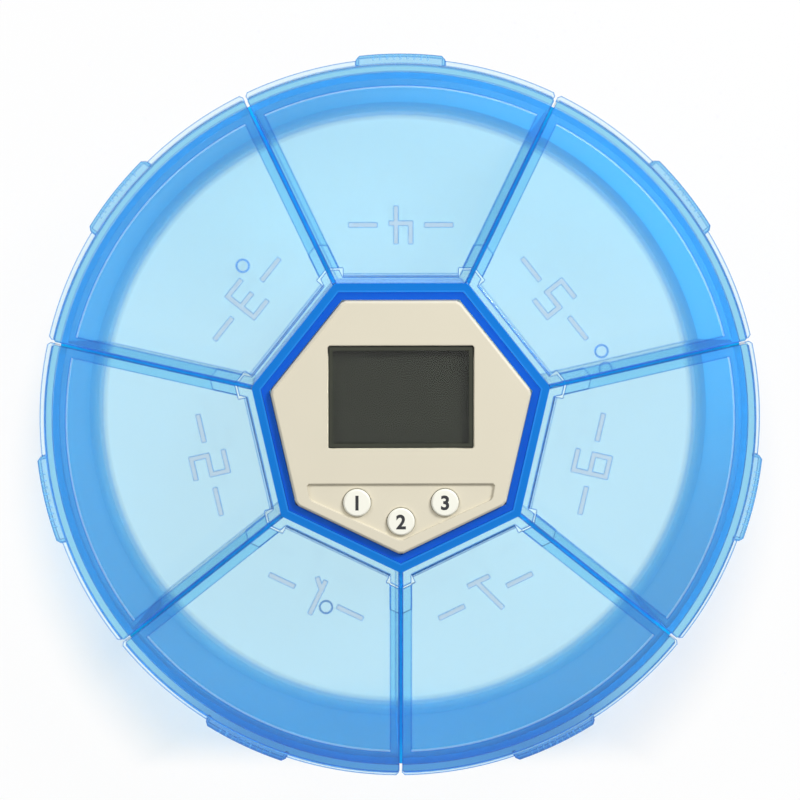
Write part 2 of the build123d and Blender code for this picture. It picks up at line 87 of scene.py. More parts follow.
# The picture: its width, and how far its middle lies right of the tray's axis and above it, in pixels. Then the
# camera's sensor width, in millimetres.
PICTURE_WIDTH = 800
AIM_RIGHT, AIM_UP = -0.9, 21.4
SENSOR = 36.0


# Small helpers

def linear(code):
    """An sRGB hex colour as linear red, green and blue."""
    parts = [int(code[i:i + 2], 16) / 255 for i in (1, 3, 5)]
    return [c / 12.92 if c <= 0.04045 else ((c + 0.055) / 1.055) ** 2.4 for c in parts]


def rgba(colour):
    return list(colour)[:3] + [1.0]


def add(tree, kind, values=None, links=None, **settings):
    """One node with its settings, its sockets' values and the links that come into it."""
    made = tree.nodes.new(kind)
    for key, value in settings.items():
        setattr(made, key, value)
    for key, value in (values or {}).items():
        made.inputs[key].default_value = value
    for key, source in (links or {}).items():
        tree.links.new(source, made.inputs[key])
    return made


def new_material(name):
    material = bpy.data.materials.new(name)
    material.use_nodes = True
    material.node_tree.nodes.clear()
    return material, material.node_tree


def dress(names, material):
    """Gives CAD nodes their material, slot by slot."""
    for name in names:
        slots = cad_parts[name].material_slots
        if not slots:
            raise RuntimeError(f"{name} has no material slot")
        for slot in slots:
            slot.material = material


def looks():
    return bpy.context.scene.pill_box_looks


def studio():
    return bpy.context.scene.pill_box_studio


def deselect():
    if bpy.context.object and bpy.context.object.mode != "OBJECT":
        bpy.ops.object.mode_set(mode="OBJECT")
    bpy.ops.object.select_all(action="DESELECT")


def settle(name):
    """The active object, its place put into its mesh, under its name."""
    piece = bpy.context.object
    bpy.ops.object.transform_apply(location=True, rotation=True, scale=True)
    piece.name = name
    piece.data.name = name
    return piece


def repeat(pattern, moves):
    """Copies of a finished pattern, each with its own mesh, named and moved by moves. The pattern is removed."""
    pieces = []
    for name, move in moves.items():
        deselect()
        pattern.select_set(True)
        bpy.context.view_layer.objects.active = pattern
        bpy.ops.object.duplicate(linked=False)
        bpy.context.object.matrix_world = move
        pieces.append(settle(name))
    bpy.data.meshes.remove(pattern.data)
    return pieces


class PillBoxLooks(bpy.types.PropertyGroup):
    """Colours and finishes of the pill box."""

    tint: bpy.props.FloatVectorProperty(
        name="Blue tint", description="Colour that passes the blue plastic", subtype="COLOR",
        default=linear("#00D9F0"), min=0.0, max=1.0)
    tint_density: bpy.props.FloatProperty(
        name="Tint density", description="How fast the blue plastic soaks up light, per metre", default=235.0,
        min=0.0)
    blue_roughness: bpy.props.FloatProperty(
        name="Blue plastic roughness", description="Roughness of the moulded blue surface", default=0.06,
        min=0.0, max=1.0, subtype="FACTOR")
    edge_width: bpy.props.FloatProperty(
        name="Edge width", description="How far the darker line reaches from a moulded edge", default=0.34 * MM,
        unit="LENGTH", min=0.01 * MM)
    # Painted shade: the darker line along the blue plastic's edges.
    edge_shade_colour: bpy.props.FloatVectorProperty(
        name="Edge colour", description="Tint of the blue plastic at its edges", subtype="COLOR",
        default=linear("#1478DC"), min=0.0, max=1.0)
    frame_colour: bpy.props.FloatVectorProperty(
        name="Frame colour", description="Added tint of the frame's outer arc", subtype="COLOR",
        default=linear("#B4DEF7"), min=0.0, max=1.0)
    bar_colour: bpy.props.FloatVectorProperty(
        name="Bar colour", description="Added tint of the frame's straight sides", subtype="COLOR",
        default=linear("#84D0F3"), min=0.0, max=1.0)
    skirt_colour: bpy.props.FloatVectorProperty(
        name="Skirt colour", description="Added tint of the lip that hangs over the rim", subtype="COLOR",
        default=linear("#C6E5F8"), min=0.0, max=1.0)
    painted_front_shade: bpy.props.FloatVectorProperty(
        name="Front colour", description="Shade of the lip and the tabs at the front of the box", subtype="COLOR",
        default=linear("#4D86D0"), min=0.0, max=1.0)
    tab_colour: bpy.props.FloatVectorProperty(
        name="Tab colour", description="Added tint of the lids' finger tabs", subtype="COLOR",
        default=linear("#98D0F4"), min=0.0, max=1.0)
    wall_colour: bpy.props.FloatVectorProperty(
        name="Wall colour", description="Colour of the tray's drafted side wall", subtype="COLOR",
        default=linear("#04BEF0"), min=0.0, max=1.0)
    wall_haze: bpy.props.FloatProperty(
        name="Wall haze", description="Share of the side wall's surface that scatters light", default=0.70,
        min=0.0, max=1.0, subtype="FACTOR")
    end_colour: bpy.props.FloatVectorProperty(
        name="Wall top colour", description="Deep blue of the tray's walls seen from their tops", subtype="COLOR",
        default=linear("#0890C8"), min=0.0, max=1.0)
    # Partly the dividers' own end-on blue, and partly painted shade that makes it darker than the rim's.
    divider_colour: bpy.props.FloatVectorProperty(
        name="Divider top colour", description="Deep blue of the dividers seen from their tops", subtype="COLOR",
        default=linear("#0672B8"), min=0.0, max=1.0)
    collar_colour: bpy.props.FloatVectorProperty(
        name="Collar colour", description="Blue of the collar's ring", subtype="COLOR",
        default=linear("#067AD8"), min=0.0, max=1.0)
    ring_colour: bpy.props.FloatVectorProperty(
        name="Hub top colour", description="Deep blue of the top of the tray's hub wall", subtype="COLOR",
        default=linear("#0458D2"), min=0.0, max=1.0)
    # Painted highlight: the light line on the collar next to the hub.
    collar_highlight_colour: bpy.props.FloatVectorProperty(
        name="Collar line colour", description="Light line where the collar meets the hub", subtype="COLOR",
        default=linear("#2088E8"), min=0.0, max=1.0)
    hub_out: bpy.props.FloatProperty(
        name="Hub wall", description="From the axis to the outer side of the hub's wall",
        default=22.6 * MM, unit="LENGTH")
    end_share: bpy.props.FloatProperty(
        name="Deep blue share", description="How far that deep blue covers", default=0.9,
        min=0.0, max=1.0, subtype="FACTOR")
    ring_out: bpy.props.FloatProperty(
        name="Collar ring", description="From the axis to the outer side of the collar's ring",
        default=24.1 * MM, unit="LENGTH")
    haze: bpy.props.FloatProperty(
        name="Haze", description="Share of the blue plastic's surface that scatters light", default=0.04,
        min=0.0, max=1.0, subtype="FACTOR")
    haze_colour: bpy.props.FloatVectorProperty(
        name="Haze colour", description="Colour of that scattered light", subtype="COLOR",
        default=linear("#7AC8F8"), min=0.0, max=1.0)
    mark_colour: bpy.props.FloatVectorProperty(
        name="Number colour", description="Colour of the raised numbers on the lids", subtype="COLOR",
        default=linear("#BCC6D6"), min=0.0, max=1.0)
    case_colour: bpy.props.FloatVectorProperty(
        name="Case colour", description="Cream of the timer's case", subtype="COLOR",
        default=linear("#DCD5C0"), min=0.0, max=1.0)
    button_colour: bpy.props.FloatVectorProperty(
        name="Button colour", description="Ivory of the push buttons", subtype="COLOR",
        default=linear("#F6F5E8"), min=0.0, max=1.0)
    display_colour: bpy.props.FloatVectorProperty(
        name="Display colour", description="Dark olive grey of the switched-off display", subtype="COLOR",
        default=linear("#1E201A"), min=0.0, max=1.0)
    mark_at: bpy.props.FloatProperty(
        name="Gate marks' distance", description="From the middle of the tray to each gate mark",
        default=38.0 * MM, unit="LENGTH")
    mark_radius: bpy.props.FloatProperty(
        name="Gate mark radius", description="Outer radius of a gate mark", default=1.3 * MM, unit="LENGTH")
    tray_floor: bpy.props.FloatProperty(
        name="Tray floor", description="Height of the tray's inner floor", default=1.2 * MM, unit="LENGTH")
    tab_top: bpy.props.FloatProperty(
        name="Tab top", description="Height of the finger tabs' upper side", default=19.93 * MM, unit="LENGTH")
    numeral_height: bpy.props.FloatProperty(
        name="Numeral height", description="Height of the numerals on the buttons", default=2.6 * MM,
        unit="LENGTH", min=0.5 * MM)


class PillBoxStudio(bpy.types.PropertyGroup):
    """Camera and light of the picture."""

    distance: bpy.props.FloatProperty(
        name="Camera distance", description="From the camera to the lids", default=0.75, unit="LENGTH", min=0.1)
    lens: bpy.props.FloatProperty(
        name="Lens", description="Focal length on a sensor 36 mm wide, in millimetres", default=193.3, min=1.0)
    lean_up: bpy.props.FloatProperty(
        name="Lean up", description="How far the camera leans to the picture's upper side", subtype="ANGLE",
        default=math.radians(5.4))
    lean_left: bpy.props.FloatProperty(
        name="Lean left", description="How far the camera leans to the picture's left side", subtype="ANGLE",
        default=math.radians(1.36))
    right_power: bpy.props.FloatProperty(
        name="Right lamp", description="Power of the soft lamp at the upper right", default=4.4, min=0.0,
        unit="POWER")
    left_power: bpy.props.FloatProperty(
        name="Left lamp", description="Power of the soft lamp at the upper left", default=1.3, min=0.0,
        unit="POWER")
    fill_level: bpy.props.FloatProperty(
        name="Fill level", description="Strength of the even light from all round", default=0.38, min=0.0)


def painted_edge_shade(tree):
    """White on faces, and the edge colour where two faces meet: a painted shade for the dark line along a rounded
    edge.

    Where the rounded normal leaves the face's own, there is an edge. Real edges are rounded by about 0.1 mm.
    """
    real = add(tree, "ShaderNodeNewGeometry")
    rounded = add(tree, "ShaderNodeBevel", {"Radius": looks().edge_width}, samples=4)
    along = add(tree, "ShaderNodeVectorMath", links={0: real.outputs["Normal"], 1: rounded.outputs["Normal"]},
                operation="DOT_PRODUCT")
    edge = add(tree, "ShaderNodeMapRange", {1: 0.9995, 2: 0.94, 3: 0.0, 4: 1.0}, {0: along.outputs["Value"]})
    return add(tree, "ShaderNodeMix", {6: WHITE, 7: rgba(looks().edge_shade_colour)}, {0: edge.outputs[0]},
               data_type="RGBA").outputs[2]


def lid_tint(tree, coat, split, radius):
    """The coat tinted deeper on the frame, skirt and finger tab, thicker than the panel, with painted shade in front.
    """
    chosen = looks()
    height = split.outputs["Z"]
    frame_part = add(tree, "ShaderNodeMath", {1: LID_TOP - 0.13 * MM}, {0: height}, operation="GREATER_THAN")
    on_skirt = add(tree, "ShaderNodeMath", {1: SKIRT_INNER}, {0: radius}, operation="GREATER_THAN")
    beyond = add(tree, "ShaderNodeMath", {1: TAB_ROOT}, {0: radius}, operation="GREATER_THAN")
    tab_level = add(tree, "ShaderNodeMath", {1: TAB_TOPS}, {0: height}, operation="GREATER_THAN")
    tab_part = add(tree, "ShaderNodeMath", links={0: beyond.outputs[0], 1: tab_level.outputs[0]},
                   operation="MULTIPLY")
    thick = add(tree, "ShaderNodeMath", links={0: frame_part.outputs[0], 1: tab_part.outputs[0]},
                operation="MAXIMUM")
    on_arc = add(tree, "ShaderNodeMapRange", {1: ARC[0], 2: ARC[1]}, {0: radius})
    sides = add(tree, "ShaderNodeMix", {6: rgba(chosen.bar_colour), 7: rgba(chosen.frame_colour)},
                {0: on_arc.outputs[0]}, data_type="RGBA")
    outer = add(tree, "ShaderNodeMix", {7: rgba(chosen.skirt_colour)},
                {0: on_skirt.outputs[0], 6: sides.outputs[2]}, data_type="RGBA")
    kind = add(tree, "ShaderNodeMix", {7: rgba(chosen.tab_colour)},
               {0: beyond.outputs[0], 6: outer.outputs[2]}, data_type="RGBA")
    # Painted shade: towards the front, and outwards from the frame's arc, the rim's colour is multiplied by the front
    # shade.
    front = add(tree, "ShaderNodeMapRange", {1: SHADE_FRONT[0], 2: SHADE_FRONT[1], 3: 0.0, 4: 1.0},
                {0: split.outputs["Y"]}, interpolation_type="SMOOTHSTEP")
    outward = add(tree, "ShaderNodeMapRange", {1: SHADE_OUT[0], 2: SHADE_OUT[1]}, {0: radius})
    shaded = add(tree, "ShaderNodeMath", links={0: front.outputs[0], 1: outward.outputs[0]}, operation="MULTIPLY")
    kind = add(tree, "ShaderNodeMix", {7: rgba(chosen.painted_front_shade)},
               {0: shaded.outputs[0], 6: kind.outputs[2]}, data_type="RGBA", blend_type="MULTIPLY")
    deeper = add(tree, "ShaderNodeMix", {6: WHITE}, {0: thick.outputs[0], 7: kind.outputs[2]}, data_type="RGBA")
    return add(tree, "ShaderNodeMix", {0: 1.0}, {6: coat, 7: deeper.outputs[2]},
               data_type="RGBA", blend_type="MULTIPLY").outputs[2]


def wall_glow(tree, body, radius, normal):
    """Light runs a long way along the drafted side wall, and the plastic's haze makes it glow an even blue."""
    chosen = looks()
    outside = add(tree, "ShaderNodeMapRange", {1: WALL_GLOW[0], 2: WALL_GLOW[1], 3: 0.0, 4: chosen.wall_haze},
                  {0: radius})
    scattered = add(tree, "ShaderNodeBsdfPrincipled", {
        "Base Color": rgba(chosen.wall_colour), "Roughness": 0.35, "IOR": POLYPROPYLENE_IOR,
        "Specular IOR Level": 0.2}, {"Normal": normal})
    # Nearly all of the glow comes through the wall from its far side.
    from_behind = 0.93
    shining = add(tree, "ShaderNodeBsdfTranslucent", {"Color": rgba(chosen.wall_colour)})
    glowing = add(tree, "ShaderNodeMixShader", {"Fac": from_behind},
                  {1: scattered.outputs["BSDF"], 2: shining.outputs["BSDF"]})
    return add(tree, "ShaderNodeMixShader", links={
        "Fac": outside.outputs[0], 1: body, 2: glowing.outputs["Shader"]}).outputs["Shader"]


def deep_ends(tree, body, part, split, radius, normal):
    """A wall seen from its end is deep blue: the tops of the tray's walls, and the whole ring of the collar."""
    chosen = looks()
    # The distance from the axis to the hub's heptagon side, by turning each point into one sector.
    angle = add(tree, "ShaderNodeMath", links={0: split.outputs["Y"], 1: split.outputs["X"]}, operation="ARCTAN2")
    shifted = add(tree, "ShaderNodeMath", {1: math.pi / 2 - SECTOR / 2}, {0: angle.outputs[0]},
                  operation="SUBTRACT")
    folded = add(tree, "ShaderNodeMath", {1: SECTOR}, {0: shifted.outputs[0]}, operation="FLOORED_MODULO")
    centred = add(tree, "ShaderNodeMath", {1: SECTOR / 2}, {0: folded.outputs[0]}, operation="SUBTRACT")
    lean = add(tree, "ShaderNodeMath", links={0: centred.outputs[0]}, operation="COSINE")
    away = add(tree, "ShaderNodeMath", links={0: lean.outputs[0], 1: radius}, operation="MULTIPLY")
    if part == "tray":
        ends = add(tree, "ShaderNodeMath", {1: WALL_TOPS}, {0: split.outputs["Z"]}, operation="GREATER_THAN")
        inner = add(tree, "ShaderNodeMath", {1: chosen.hub_out}, {0: away.outputs[0]}, operation="LESS_THAN")
        # Less light gets to the dividers than to the rim, so their tops are painted a darker blue, a painted shade.
        rim = add(tree, "ShaderNodeMapRange", {1: RIM[0], 2: RIM[1]}, {0: radius})
        outer = add(tree, "ShaderNodeMix", {6: rgba(chosen.divider_colour), 7: rgba(chosen.end_colour)},
                    {0: rim.outputs[0]}, data_type="RGBA")
        colour = add(tree, "ShaderNodeMix", {7: rgba(chosen.ring_colour)},
                     {0: inner.outputs[0], 6: outer.outputs[2]}, data_type="RGBA")
    else:
        # A painted highlight, 0.3 mm wide, on the collar next to the hub.
        highlight_width = 0.3 * MM
        ends = add(tree, "ShaderNodeMath", {1: chosen.ring_out}, {0: away.outputs[0]}, operation="LESS_THAN")
        inner = add(tree, "ShaderNodeMath", {1: chosen.hub_out + highlight_width}, {0: away.outputs[0]},
                    operation="LESS_THAN")
        colour = add(tree, "ShaderNodeMix", {6: rgba(chosen.collar_colour), 7: rgba(chosen.collar_highlight_colour)},
                     {0: inner.outputs[0]}, data_type="RGBA")
    share = add(tree, "ShaderNodeMath", {1: chosen.end_share}, {0: ends.outputs[0]}, operation="MULTIPLY")
    deep = add(tree, "ShaderNodeBsdfPrincipled", {
        "Roughness": 0.2, "IOR": POLYPROPYLENE_IOR, "Specular IOR Level": 0.12},
        {"Base Color": colour.outputs[2], "Normal": normal})
    return add(tree, "ShaderNodeMixShader", links={
        "Fac": share.outputs[0], 1: body, 2: deep.outputs["BSDF"]}).outputs["Shader"]


def lid_marks(tree, body, split, radius):
    """The frosted tops of the raised numbers, and a painted highlight at the foot of the frame's outer step."""
    frosting, highlight_share = 0.52, 0.32
    height = split.outputs["Z"]
    marked = add(tree, "ShaderNodeBsdfPrincipled", {
        "Base Color": rgba(looks().mark_colour), "Roughness": 0.4, "IOR": POLYPROPYLENE_IOR})
    tops = add(tree, "ShaderNodeMath", {1: NUMBER_TOP, 2: 0.025 * MM}, {0: height}, operation="COMPARE")
    share = add(tree, "ShaderNodeMath", {1: frosting}, {0: tops.outputs[0]}, operation="MULTIPLY")
    body = add(tree, "ShaderNodeMixShader", links={
        "Fac": share.outputs[0], 1: body, 2: marked.outputs["BSDF"]}).outputs["Shader"]
    # The foot of the step is rounded, 0.3 mm wide, and gets a painted highlight: a light line.
    arc = add(tree, "ShaderNodeMath", {1: ARC_FOOT, 2: 0.16 * MM}, {0: radius}, operation="COMPARE")
    top = add(tree, "ShaderNodeMath", {1: PANEL_TOP, 2: 0.1 * MM}, {0: height}, operation="COMPARE")
    line = add(tree, "ShaderNodeMath", links={0: arc.outputs[0], 1: top.outputs[0]}, operation="MULTIPLY")
    share = add(tree, "ShaderNodeMath", {1: highlight_share}, {0: line.outputs[0]}, operation="MULTIPLY")
    bright = add(tree, "ShaderNodeBsdfPrincipled", {
        "Base Color": rgba(linear("#BFE6FF")), "Roughness": 0.3, "IOR": POLYPROPYLENE_IOR})
    return add(tree, "ShaderNodeMixShader", links={
        "Fac": share.outputs[0], 1: body, 2: bright.outputs["BSDF"]}).outputs["Shader"]


def moulded_polypropylene(name, part):
    """Clear blue polypropylene, injection moulded; part is tray, collar or lid.

    A thin panel looks nearly clear, and an edge seen along its length looks deep blue, because the tint is in
    the depth. The surface is glossy with a faint haze, and its edges carry a darker line of painted shade.
    """
    chosen = looks()
    material, tree = new_material(name)
    place = add(tree, "ShaderNodeTexCoord")
    # Flow waves of the moulding, about 6 mm apart and a few microns high, drawn a little stronger than they are.
    waves = add(tree, "ShaderNodeTexNoise", {"Scale": 160.0, "Detail": 2.0, "Roughness": 0.45},
                {"Vector": place.outputs["Object"]})
    bump = add(tree, "ShaderNodeBump", {"Strength": 0.10, "Distance": 0.02 * MM}, {"Height": waves.outputs["Fac"]})
    normal = bump.outputs["Normal"]
    split = add(tree, "ShaderNodeSeparateXYZ", links={"Vector": place.outputs["Object"]})
    flat = add(tree, "ShaderNodeCombineXYZ", links={"X": split.outputs["X"], "Y": split.outputs["Y"]})
    radius = add(tree, "ShaderNodeVectorMath", links={0: flat.outputs[0]}, operation="LENGTH").outputs["Value"]
    # Painted shade along every edge.
    coat = painted_edge_shade(tree)
    if part == "lid":
        coat = lid_tint(tree, coat, split, radius)
    clear = add(tree, "ShaderNodeBsdfPrincipled", {
        "Transmission Weight": 1.0, "Roughness": chosen.blue_roughness, "IOR": POLYPROPYLENE_IOR,
        "Specular IOR Level": 0.3}, {"Base Color": coat, "Normal": normal})
    hazy = add(tree, "ShaderNodeBsdfPrincipled", {
        "Base Color": rgba(chosen.haze_colour), "Roughness": 0.35, "IOR": POLYPROPYLENE_IOR,
        "Specular IOR Level": 0.3}, {"Normal": normal})
    body = add(tree, "ShaderNodeMixShader", {"Fac": chosen.haze},
               {1: clear.outputs["BSDF"], 2: hazy.outputs["BSDF"]}).outputs["Shader"]
    if part == "tray":
        body = wall_glow(tree, body, radius, normal)
    if part in ("tray", "collar"):
        body = deep_ends(tree, body, part, split, radius, normal)
    if part == "lid":
        body = lid_marks(tree, body, split, radius)
    # Lamps shine straight through, tinted, so the compartments aren't dark.
    passing = add(tree, "ShaderNodeBsdfTransparent", {"Color": rgba(linear("#FAF2EE"))})
    ray = add(tree, "ShaderNodeLightPath")
    surface = add(tree, "ShaderNodeMixShader", links={
        "Fac": ray.outputs["Is Shadow Ray"], 1: body, 2: passing.outputs["BSDF"]})
    depth = add(tree, "ShaderNodeVolumeAbsorption", {"Color": rgba(chosen.tint), "Density": chosen.tint_density})
    add(tree, "ShaderNodeOutputMaterial", links={"Surface": surface.outputs["Shader"],
                                                 "Volume": depth.outputs["Volume"]})
    return material


def moulded_detail(name, colour, alpha):
    """The same blue polypropylene in details too thin to refract: half see-through, with a deeper tint."""
    material, tree = new_material(name)
    place = add(tree, "ShaderNodeTexCoord")
    # Waves about 1 mm apart and 0.01 mm high.
    waves = add(tree, "ShaderNodeTexNoise", {"Scale": 900.0, "Detail": 1.0}, {"Vector": place.outputs["Object"]})
    bump = add(tree, "ShaderNodeBump", {"Strength": 0.3, "Distance": 0.01 * MM}, {"Height": waves.outputs["Fac"]})
    shader = add(tree, "ShaderNodeBsdfPrincipled", {
        "Base Color": rgba(colour), "Roughness": 0.25, "IOR": POLYPROPYLENE_IOR, "Specular IOR Level": 0.3,
        "Alpha": alpha}, {"Normal": bump.outputs["Normal"]})
    add(tree, "ShaderNodeOutputMaterial", links={"Surface": shader.outputs["BSDF"]})
    return material


def satin_plastic(name, colour, roughness, grain=0.3 * MM, depth=0.006 * MM, spread=0.03, gloss=0.5, rounding=0.0):
    """Moulded plastic with a fine spark-eroded grain: soft broad highlights and hardly any change of colour.

    spread is how far the colour varies, and rounding is how far an edge's light line reaches.
    """
    material, tree = new_material(name)
    place = add(tree, "ShaderNodeTexCoord")
    # The real grain is about 0.05 mm, too fine to show, so it is drawn at grain.
    fine = add(tree, "ShaderNodeTexNoise", {"Scale": 1.0 / grain, "Detail": 2.0, "Roughness": 0.5},
               {"Vector": place.outputs["Object"]})
    bump = add(tree, "ShaderNodeBump", {"Strength": 0.5, "Distance": depth}, {"Height": fine.outputs["Fac"]})
    if rounding:
        # Real edges are rounded.
        rounded = add(tree, "ShaderNodeBevel", {"Radius": rounding}, samples=4)
        tree.links.new(rounded.outputs["Normal"], bump.inputs["Normal"])
    broad = add(tree, "ShaderNodeTexNoise", {"Scale": 90.0, "Detail": 1.0}, {"Vector": place.outputs["Object"]})
    shade = add(tree, "ShaderNodeMapRange", {3: 1.0 - spread, 4: 1.0 + spread * 0.3},
                {0: broad.outputs["Fac"]})
    tint = add(tree, "ShaderNodeVectorMath", {0: tuple(colour)[:3]}, operation="SCALE")
    tree.links.new(shade.outputs[0], tint.inputs["Scale"])
    shader = add(tree, "ShaderNodeBsdfPrincipled", {
        "Roughness": roughness, "IOR": ABS_IOR, "Specular IOR Level": gloss},
        {"Base Color": tint.outputs[0], "Normal": bump.outputs["Normal"]})
    add(tree, "ShaderNodeOutputMaterial", links={"Surface": shader.outputs["BSDF"]})
    return material


def polished_acrylic():
    """Polished clear acrylic: a window that shows only as soft reflections and a thin edge."""
    material, tree = new_material("clear_acrylic_polished")
    place = add(tree, "ShaderNodeTexCoord")
    # Waves about 8 mm apart. The IOR is lower than acrylic's own, so that the reflections stay faint.
    waves = add(tree, "ShaderNodeTexNoise", {"Scale": 120.0, "Detail": 1.0}, {"Vector": place.outputs["Object"]})
    bump = add(tree, "ShaderNodeBump", {"Strength": 0.04, "Distance": 0.01 * MM}, {"Height": waves.outputs["Fac"]})
    clear = add(tree, "ShaderNodeBsdfPrincipled", {
        "Base Color": rgba(linear("#FCFDFC")), "Transmission Weight": 1.0, "Roughness": 0.03, "IOR": 1.22},
        {"Normal": bump.outputs["Normal"]})
    passing = add(tree, "ShaderNodeBsdfTransparent", {"Color": rgba(linear("#F9FAF9"))})
    ray = add(tree, "ShaderNodeLightPath")
    surface = add(tree, "ShaderNodeMixShader", links={
        "Fac": ray.outputs["Is Shadow Ray"], 1: clear.outputs["BSDF"], 2: passing.outputs["BSDF"]})
    add(tree, "ShaderNodeOutputMaterial", links={"Surface": surface.outputs["Shader"]})
    return material


def rolled_steel():
    """Nickel-plated rolled steel: bright, with fine scratches along one way."""
    material, tree = new_material("steel_nickel_plated")
    place = add(tree, "ShaderNodeTexCoord")
    # Rolling lines about 0.1 mm apart.
    stretch = add(tree, "ShaderNodeMapping", {"Scale": (1.0, 12.0, 1.0)}, {"Vector": place.outputs["Object"]})
    lines = add(tree, "ShaderNodeTexNoise", {"Scale": 900.0, "Detail": 2.0}, {"Vector": stretch.outputs[0]})
    rough = add(tree, "ShaderNodeMapRange", {3: 0.22, 4: 0.38}, {0: lines.outputs["Fac"]})
    shader = add(tree, "ShaderNodeBsdfPrincipled", {"Base Color": rgba(linear("#C9C7C0")), "Metallic": 1.0},
                 {"Roughness": rough.outputs[0]})
    add(tree, "ShaderNodeOutputMaterial", links={"Surface": shader.outputs["BSDF"]})
    return material


class PILLBOX_OT_blue_plastic(bpy.types.Operator):
    """Dress the tray, the collar and the seven lids in clear blue plastic"""

    bl_idname = "pillbox.blue_plastic"
    bl_label = "Blue plastic"

    def execute(self, context):
        for part, names in (("tray", ["tray"]), ("collar", ["lid_collar"]), ("lid", LIDS)):
            dress(names, moulded_polypropylene(f"blue_polypropylene_{part}", part))
        return {"FINISHED"}


class PILLBOX_OT_gate_marks(bpy.types.Operator):
    """Model the three small rings that the moulding leaves on the tray's floor"""

    bl_idname = "pillbox.gate_marks"
    bl_label = "Gate marks"

    def execute(self, context):
        chosen = looks()
        # Each ring is 0.12 mm high, and its hole is 0.72 of its width.
        hole, height = 0.72, 0.12 * MM
        deselect()
        bpy.ops.mesh.primitive_circle_add(
            vertices=32, radius=chosen.mark_radius, fill_type="NOTHING", location=(0, 0, chosen.tray_floor))
        ring = settle("gate_mark")
        bpy.ops.object.mode_set(mode="EDIT")
        bpy.ops.mesh.select_all(action="SELECT")
        bpy.ops.mesh.extrude_edges_move()
        bpy.ops.transform.resize(value=(hole, hole, 1.0), center_override=(0, 0, 0))
        bpy.ops.mesh.select_all(action="SELECT")
        bpy.ops.mesh.extrude_region_move(TRANSFORM_OT_translate={"value": (0, 0, height)})
        bpy.ops.mesh.select_all(action="SELECT")
        bpy.ops.mesh.normals_make_consistent(inside=False)
        bpy.ops.object.mode_set(mode="OBJECT")
        ring.data.materials.append(moulded_detail("blue_polypropylene_gate_mark", linear("#3C97E6"), 0.6))
        moves = {}
        for count, angle in enumerate(GATE_ANGLES, 1):
            out = Vector((chosen.mark_at, 0, 0))
            out.rotate(Matrix.Rotation(math.radians(angle), 3, "Z"))
            moves[f"gate_mark_{count}"] = Matrix.Translation(out)
        for mark in repeat(ring, moves):
            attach(mark, "box")
        return {"FINISHED"}


class PILLBOX_OT_tab_grips(bpy.types.Operator):
    """Model the fine ribs on the outer edge of each lid's finger tab"""

    bl_idname = "pillbox.tab_grips"
    bl_label = "Tab grips"

    def execute(self, context):
        # Nine ribs 1.2 mm apart along the tab's outer border, each a ridge half sunk in it, 0.06 mm from its edge.
        length, pitch, count, thickness, border = 1.0 * MM, 1.2 * MM, 9, 0.2 * MM, 0.06 * MM
        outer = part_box("lid_4")[1][1]
        deselect()
        bpy.ops.mesh.primitive_cylinder_add(
            vertices=10, radius=thickness, depth=length,
            location=(outer - length / 2 - border, 0, looks().tab_top), rotation=(0, math.pi / 2, 0))
        rib = settle("rib")
        leans = [math.asin((place - (count - 1) / 2) * pitch / outer) for place in range(count)]
        for each in repeat(rib, {f"rib_{n}": Matrix.Rotation(lean, 4, "Z") for n, lean in enumerate(leans, 1)}):
            each.select_set(True)
        bpy.ops.object.join()
        row = settle("tab_grip")
        row.data.materials.append(moulded_detail("blue_polypropylene_grip", linear("#8ACCF6"), 0.25))
        turns = {f"tab_grip_{day}": math.pi / 2 + (4 - day) * SECTOR for day in range(1, len(LIDS) + 1)}
        grips = repeat(row, {name: Matrix.Rotation(turn, 4, "Z") for name, turn in turns.items()})
        for grip, lid in zip(grips, LIDS):
            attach(grip, lid)
        return {"FINISHED"}


class PILLBOX_OT_timer_case(bpy.types.Operator):
    """Dress the timer's case and battery door in cream plastic"""

    bl_idname = "pillbox.timer_case"
    bl_label = "Timer case"

    def execute(self, context):
        # ABS, moulded with a satin grain.
        dress(["timer_front_case", "timer_back_case", "battery_door"],
              satin_plastic("cream_abs_satin", looks().case_colour, 0.42, rounding=0.3 * MM))
        return {"FINISHED"}


class PILLBOX_OT_display(bpy.types.Operator):
    """Dress the window and the display"""

    bl_idname = "pillbox.display"
    bl_label = "Display"

    def execute(self, context):
        dress(["display_lens"], polished_acrylic())
        # A liquid crystal panel that is off: glass over a satin polariser.
        dress(["lcd_panel"], satin_plastic(
            "display_glass_off", looks().display_colour, 0.35, depth=0.002 * MM, gloss=0.15))
        # On the window, 0.01 mm thick: a black line, 0.18 mm wide, partly the display's black border and partly
        # painted shade for the shadow gap at the window's edge, and inside it a band as dark as the display.
        ink, above = 0.01 * MM, 0.004 * MM
        low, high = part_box("display_lens")
        wide, tall, top = high[0] - low[0], high[1] - low[1], high[2]
        middle = ((low[0] + high[0]) / 2, (low[1] + high[1]) / 2)
        for name, inset, width, colour in (
                ("display_border", 0.02 * MM, 0.18 * MM, "#0B0C0C"),
                ("display_band", 0.2 * MM, 0.6 * MM, "#41433A")):
            deselect()
            bpy.ops.mesh.primitive_plane_add(size=1.0, location=(*middle, top + above))
            bpy.ops.transform.resize(value=(wide - 2 * inset, tall - 2 * inset, 1.0))
            border = settle(name)
            bpy.ops.object.mode_set(mode="EDIT")
            bpy.ops.mesh.select_all(action="SELECT")
            bpy.ops.mesh.inset(thickness=width)
            bpy.ops.mesh.delete(type="FACE")
            bpy.ops.mesh.select_all(action="SELECT")
            bpy.ops.mesh.extrude_region_move(TRANSFORM_OT_translate={"value": (0, 0, ink)})
            bpy.ops.mesh.select_all(action="SELECT")
            bpy.ops.mesh.normals_make_consistent(inside=False)
            bpy.ops.object.mode_set(mode="OBJECT")
            border.data.materials.append(satin_plastic(f"print_and_shade_{name}", linear(colour), 0.5, gloss=0.1))
            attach(border, "timer")
        return {"FINISHED"}


